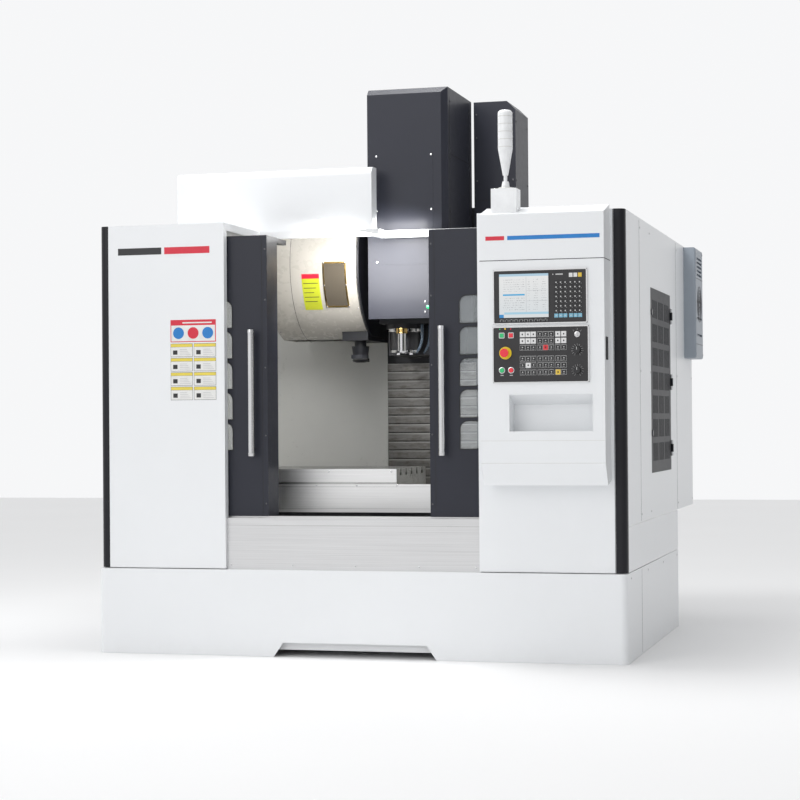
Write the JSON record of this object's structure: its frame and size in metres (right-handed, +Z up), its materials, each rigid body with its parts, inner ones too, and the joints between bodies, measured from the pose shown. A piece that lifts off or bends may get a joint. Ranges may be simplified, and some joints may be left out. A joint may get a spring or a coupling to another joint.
{
  "type": "cnc machining center",
  "caption": "Vertical machining centre with sliding front doors, moving table, spindle head, tool magazine with arm changer, and a side control console.",
  "frame": {"origin": "on the floor, at the middle of the machine's outline seen from above", "axes": "+Z up, +Y from the front doors to the rear, +X to the right of an operator facing the doors"},
  "size_m": [2.565, 2.575, 2.705],
  "materials": {
    "white": "smooth semi-gloss powder coat",
    "dark": "dark blue-grey semi-gloss powder coat",
    "black": "satin black",
    "grey_liner": "light grey gloss enamel",
    "beige": "warm grey gloss enamel",
    "iron": "painted casting",
    "steel": "brushed stainless sheet",
    "ground": "ground steel",
    "chrome": "polished",
    "glass": "clear laminated pane",
    "panel": "dark membrane overlay",
    "red": "glossy",
    "green": "glossy",
    "knob": "moulded",
    "lamp": "clear and white moulding",
    "motor": "satin",
    "cooler": "blue-grey powder coat",
    "alu": "machined"
  },
  "bodies": {
    "frame": {"levelling_feet": "ground", "bed": "iron", "column": "iron", "servo_motors": "motor", "z_cover_5": "steel", "magazine_cover": "beige", "changer_frame": "black", "base_skirt": "white", "coolant_tank": "white", "front_panels": "white", "corner_trims": "black", "side_panels": "white", "electrical_cabinet": "white", "cooling_unit": "cooler", "chamber_liner": "grey_liner", "roof_frame": "white", "hood": "white", "sill_apron": "steel", "control_box": "white", "screen_unit": "panel", "button_panel": "panel", "tower_light": "lamp", "cable_duct": "dark"},
    "saddle_slide": {"saddle": "iron", "saddle_guard": "steel", "x_motor": "motor"},
    "table_slide": {"table": "ground"},
    "head": {"head_casting": "iron", "head_cover": "dark", "spindle_motor": "motor", "spindle_nose": "chrome", "z_cover_1": "steel"},
    "spindle_rotor": {"spindle": "ground"},
    "x_screw_rotor": {"x_screw": "ground"},
    "y_screw_rotor": {"y_screw": "ground"},
    "z_screw_rotor": {"z_screw": "ground"},
    "cover_plate_2": {"z_cover_2": "steel"},
    "cover_plate_3": {"z_cover_3": "steel"},
    "cover_plate_4": {"z_cover_4": "steel"},
    "magazine_rotor": {"magazine_disc": "alu"},
    "tilting_pot": {"change_pot": "panel"},
    "changer_quill": {"changer_shaft": "black"},
    "changer_rotor": {"changer_arm": "black"},
    "left_door_leaf": {"left_door": "dark", "left_windows": "glass", "left_handle": "chrome"},
    "right_door_leaf": {"right_door": "dark", "right_windows": "glass", "right_handle": "chrome"},
    "vent_leaf": {"vent_door": "dark"},
    "lower_lock": {"vent_lock_lower": "black"},
    "upper_lock": {"vent_lock_upper": "black"},
    "on_push": {"power_on_button": "green"},
    "off_push": {"power_off_button": "red"},
    "start_push": {"start_button": "green"},
    "hold_push": {"hold_button": "red"},
    "stop_push": {"emergency_stop": "red"},
    "feed_rotor": {"feed_dial": "knob"},
    "rapid_rotor": {"rapid_dial": "knob"},
    "key_rotor": {"key_switch": "chrome"}
  },
  "joints": [
    {"name": "left_door", "type": "slide", "parent": "frame", "child": "left_door_leaf", "axis": [1, 0, 0], "range_m": [0, 0.387]},
    {"name": "right_door", "type": "slide", "parent": "frame", "child": "right_door_leaf", "axis": [-1, 0, 0], "range_m": [0, 0.387]},
    {"name": "y_axis", "type": "slide", "parent": "frame", "child": "saddle_slide", "axis": [0, 1, 0], "range_m": [0, 0.5]},
    {"name": "x_axis", "type": "slide", "parent": "saddle_slide", "child": "table_slide", "axis": [1, 0, 0], "range_m": [0, 0.8]},
    {"name": "z_axis", "type": "slide", "parent": "frame", "child": "head", "axis": [0, 0, 1], "range_m": [-0.5, 0]},
    {"name": "spindle_turn", "type": "hinge", "parent": "head", "child": "spindle_rotor", "pos_m": [-0.0325, -0.1735, 1.418], "axis": [0, 0, 1], "continuous": true},
    {"name": "x_screw_turn", "type": "hinge", "parent": "saddle_slide", "child": "x_screw_rotor", "pos_m": [-0.0325, -0.4235, 0.65], "axis": [1, 0, 0], "continuous": true},
    {"name": "y_screw_turn", "type": "hinge", "parent": "frame", "child": "y_screw_rotor", "pos_m": [-0.0325, -0.6835, 0.553], "axis": [0, 1, 0], "continuous": true},
    {"name": "z_screw_turn", "type": "hinge", "parent": "frame", "child": "z_screw_rotor", "pos_m": [-0.0325, 0.4215, 2.2], "axis": [0, 0, 1], "continuous": true},
    {"name": "cover_plate_2_slide", "type": "slide", "parent": "frame", "child": "cover_plate_2", "axis": [0, 0, 1], "range_m": [-0.375, 0]},
    {"name": "cover_plate_3_slide", "type": "slide", "parent": "frame", "child": "cover_plate_3", "axis": [0, 0, 1], "range_m": [-0.25, 0]},
    {"name": "cover_plate_4_slide", "type": "slide", "parent": "frame", "child": "cover_plate_4", "axis": [0, 0, 1], "range_m": [-0.125, 0]},
    {"name": "magazine_turn", "type": "hinge", "parent": "frame", "child": "magazine_rotor", "pos_m": [-0.5025, 0.0335, 1.863], "axis": [1, 0, 0], "range_deg": [0, 360]},
    {"name": "pot_tilt", "type": "hinge", "parent": "magazine_rotor", "child": "tilting_pot", "pos_m": [-0.5325, 0.0335, 1.504], "axis": [0, 1, 0], "range_deg": [-90, 0]},
    {"name": "arm_drop", "type": "slide", "parent": "frame", "child": "changer_quill", "axis": [0, 0, 1], "range_m": [-0.11, 0]},
    {"name": "arm_swing", "type": "hinge", "parent": "changer_quill", "child": "changer_rotor", "pos_m": [-0.2945, -0.0705, 1.388], "axis": [0, 0, 1], "range_deg": [0, 234]},
    {"name": "vent_door_hinge", "type": "hinge", "parent": "frame", "child": "vent_leaf", "pos_m": [1.224, 0.3965, 0.82], "axis": [0, 0, 1], "range_deg": [0, 100]},
    {"name": "lower_lock_turn", "type": "hinge", "parent": "vent_leaf", "child": "lower_lock", "pos_m": [1.2175, -0.2855, 1.01], "axis": [1, 0, 0], "range_deg": [-90, 0]},
    {"name": "upper_lock_turn", "type": "hinge", "parent": "vent_leaf", "child": "upper_lock", "pos_m": [1.2175, -0.2855, 1.59], "axis": [1, 0, 0], "range_deg": [-90, 0]},
    {"name": "power_on_press", "type": "slide", "parent": "frame", "child": "on_push", "axis": [0, 1, 0], "range_m": [0, 0.003], "stiffness_N_per_m": 400, "springref_m": -0.002},
    {"name": "power_off_press", "type": "slide", "parent": "frame", "child": "off_push", "axis": [0, 1, 0], "range_m": [0, 0.003], "stiffness_N_per_m": 400, "springref_m": -0.002},
    {"name": "start_press", "type": "slide", "parent": "frame", "child": "start_push", "axis": [0, 1, 0], "range_m": [0, 0.003], "stiffness_N_per_m": 400, "springref_m": -0.002},
    {"name": "hold_press", "type": "slide", "parent": "frame", "child": "hold_push", "axis": [0, 1, 0], "range_m": [0, 0.003], "stiffness_N_per_m": 400, "springref_m": -0.002},
    {"name": "emergency_stop_press", "type": "slide", "parent": "frame", "child": "stop_push", "axis": [0, 1, 0], "range_m": [0, 0.006]},
    {"name": "feed_turn", "type": "hinge", "parent": "frame", "child": "feed_rotor", "pos_m": [1.0325, -1.2575, 1.38], "axis": [0, 1, 0], "range_deg": [-150, 150]},
    {"name": "rapid_turn", "type": "hinge", "parent": "frame", "child": "rapid_rotor", "pos_m": [1.0325, -1.2575, 1.292], "axis": [0, 1, 0], "range_deg": [-60, 60]},
    {"name": "key_turn", "type": "hinge", "parent": "frame", "child": "key_rotor", "pos_m": [1.0325, -1.2575, 1.448], "axis": [0, 1, 0], "range_deg": [0, 90]}
  ],
  "couplings": [
    {"joint": "x_screw_turn", "follows": "x_axis", "rad_per_m": 392.7},
    {"joint": "y_screw_turn", "follows": "y_axis", "rad_per_m": 392.7},
    {"joint": "z_screw_turn", "follows": "z_axis", "rad_per_m": 392.7},
    {"joint": "cover_plate_2_slide", "follows": "z_axis", "ratio": 0.75},
    {"joint": "cover_plate_3_slide", "follows": "z_axis", "ratio": 0.5},
    {"joint": "cover_plate_4_slide", "follows": "z_axis", "ratio": 0.25}
  ]
}
